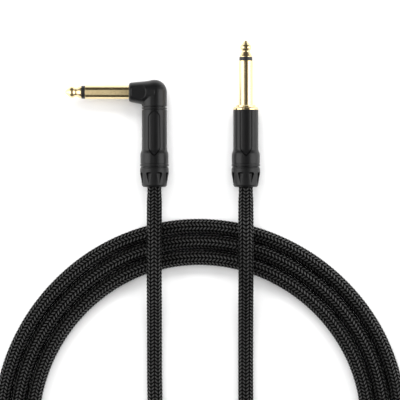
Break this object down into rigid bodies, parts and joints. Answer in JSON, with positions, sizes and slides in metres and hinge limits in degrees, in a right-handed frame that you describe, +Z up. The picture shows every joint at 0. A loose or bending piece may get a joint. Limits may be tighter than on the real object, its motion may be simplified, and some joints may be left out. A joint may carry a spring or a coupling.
{
  "type": "instrument cable",
  "caption": "Braided instrument cable, laid in a flat coil, with a straight and a right-angle gold-plated 6.35 mm plug whose boots unscrew.",
  "frame": {"origin": "on the resting surface, below the middle of the box round the two plugs", "axes": "+Z up from the surface; +Y along the straight plug from the cable to the tip; -X along the right-angle plug's shaft to its tip"},
  "size_m": [0.1958, 0.279, 0.0155],
  "materials": {
    "gold": "gold plating, polished",
    "black_metal": "black chrome-like coating, satin",
    "black_plastic": "moulded, satin",
    "grey_plastic": "moulded",
    "shroud_plastic": "moulded, thin wall",
    "insulator_plastic": "moulded",
    "tinned_lug": "tin plating",
    "copper": "bare copper strands",
    "solder": "bright solder",
    "inner_jacket": "soft PVC",
    "core_plastic": "foamed polyethylene",
    "braid": "woven polyester braid"
  },
  "bodies": {
    "cable_and_plugs": {"angle_cable_end": "braid", "angle_cable_jacket": "inner_jacket", "angle_conductor": "copper", "angle_core": "core_plastic", "angle_elbow": "black_metal", "angle_ground_lug": "tinned_lug", "angle_ground_solder": "solder", "angle_marker_ring": "black_plastic", "angle_neck_ring": "black_metal", "angle_rod_insulator": "insulator_plastic", "angle_shell": "black_metal", "angle_shield_pigtail": "copper", "angle_sleeve_contact": "gold", "angle_solder_shroud": "shroud_plastic", "angle_tip_contact": "gold", "angle_tip_lug": "tinned_lug", "angle_tip_ring": "black_plastic", "angle_tip_solder": "solder", "cable_angle_tail": "braid", "cable_coil": "braid", "cable_straight_tail": "braid", "straight_cable_end": "braid", "straight_cable_jacket": "inner_jacket", "straight_conductor": "copper", "straight_core": "core_plastic", "straight_ground_lug": "tinned_lug", "straight_ground_solder": "solder", "straight_marker_ring": "black_plastic", "straight_rod_insulator": "insulator_plastic", "straight_shell": "black_metal", "straight_shield_pigtail": "copper", "straight_sleeve_contact": "gold", "straight_solder_shroud": "shroud_plastic", "straight_tip_contact": "gold", "straight_tip_lug": "tinned_lug", "straight_tip_ring": "black_plastic", "straight_tip_solder": "solder"},
    "straight_chuck": {"straight_chuck": "grey_plastic"},
    "straight_boot": {"straight_boot": "black_plastic"},
    "angle_chuck": {"angle_chuck": "grey_plastic"},
    "angle_boot": {"angle_boot": "black_plastic"}
  },
  "joints": [
    {"name": "straight_chuck_slide", "type": "slide", "parent": "cable_and_plugs", "child": "straight_chuck", "axis": [0, -1, 0], "range_m": [0, 0.004]},
    {"name": "straight_boot_turn", "type": "hinge", "parent": "straight_chuck", "child": "straight_boot", "pos_m": [0.0391, -0.025, 0.0067], "axis": [0, -1, 0], "range_deg": [0, 1444]},
    {"name": "angle_chuck_slide", "type": "slide", "parent": "cable_and_plugs", "child": "angle_chuck", "axis": [0, -1, 0], "range_m": [0, 0.004]},
    {"name": "angle_boot_turn", "type": "hinge", "parent": "angle_chuck", "child": "angle_boot", "pos_m": [-0.0038, -0.025, 0.0067], "axis": [0, -1, 0], "range_deg": [0, 1444]}
  ],
  "couplings": [
    {"joint": "straight_boot_turn", "follows": "straight_chuck_slide", "rad_per_m": 6283.2},
    {"joint": "angle_boot_turn", "follows": "angle_chuck_slide", "rad_per_m": 6283.2}
  ]
}
